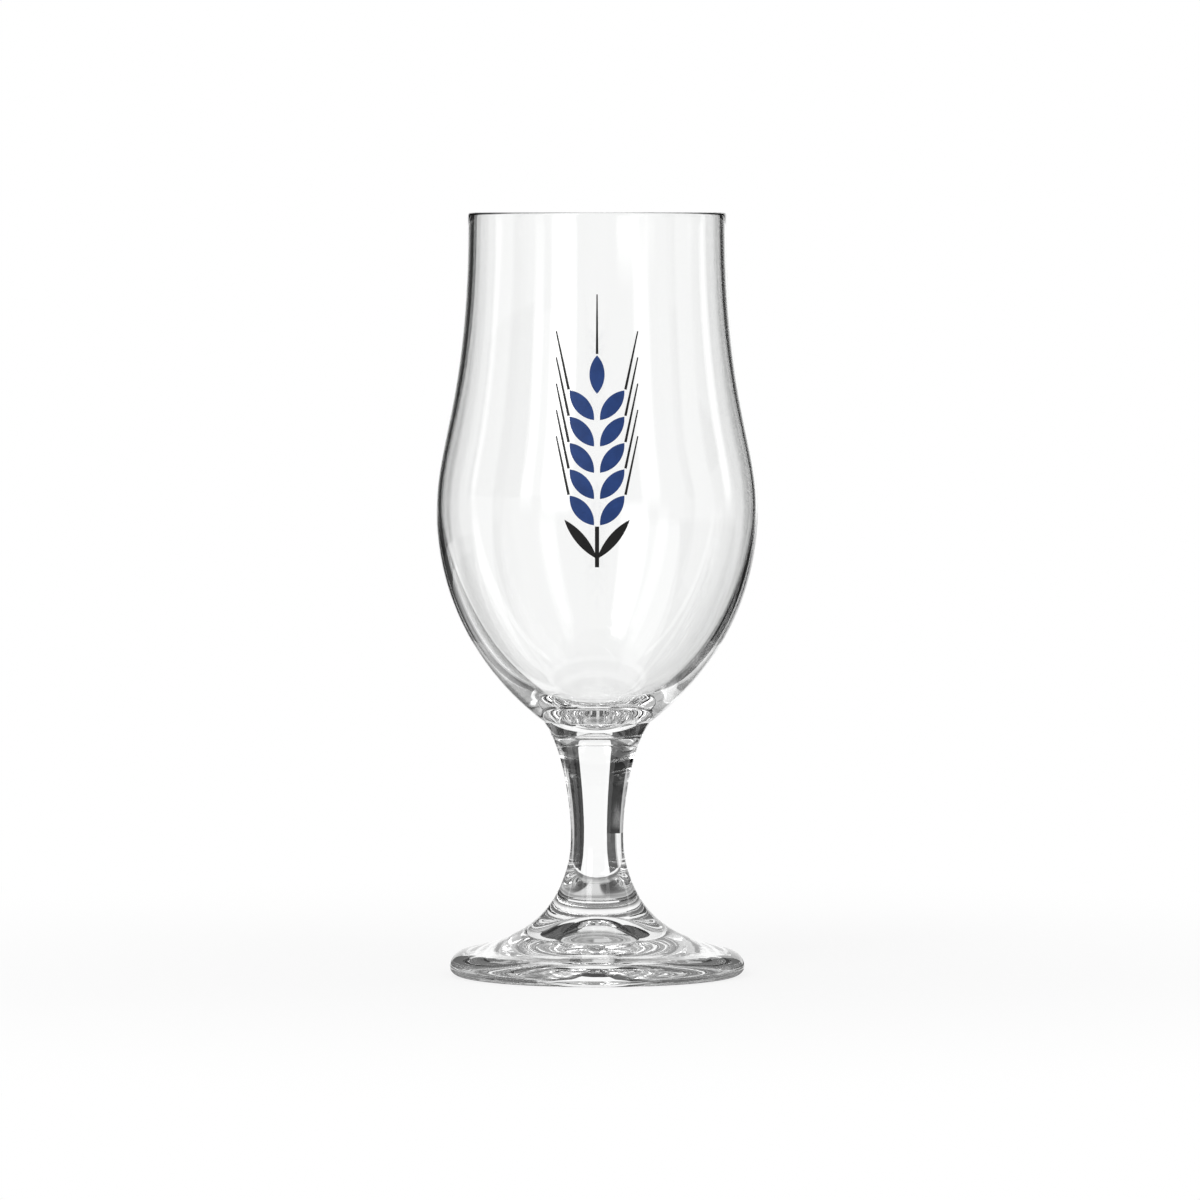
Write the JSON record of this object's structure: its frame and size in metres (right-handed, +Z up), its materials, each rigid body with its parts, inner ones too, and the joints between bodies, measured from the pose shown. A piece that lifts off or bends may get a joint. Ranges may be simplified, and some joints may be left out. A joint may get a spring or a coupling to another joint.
{
  "type": "tulip beer glass",
  "caption": "Stemmed tulip beer glass with a tall waisted bowl, a solid flared stem, a hollow-bottomed foot and a barley ear printed on the front.",
  "frame": {"origin": "on the surface that the glass stands on, under the middle of the foot", "axes": "+Z up along the glass's axis of symmetry, towards the mouth; -Y towards the printed front"},
  "size_m": [0.0776, 0.0777, 0.184],
  "materials": {
    "bowl_glass": "polished",
    "stem_glass": "polished",
    "foot_glass": "polished",
    "blue_ink": "satin",
    "black_ink": "satin"
  },
  "bodies": {
    "root": {"bowl": "bowl_glass", "stem": "stem_glass", "foot": "foot_glass", "grain_print": "blue_ink", "stalk_print": "black_ink"}
  },
  "joints": []
}
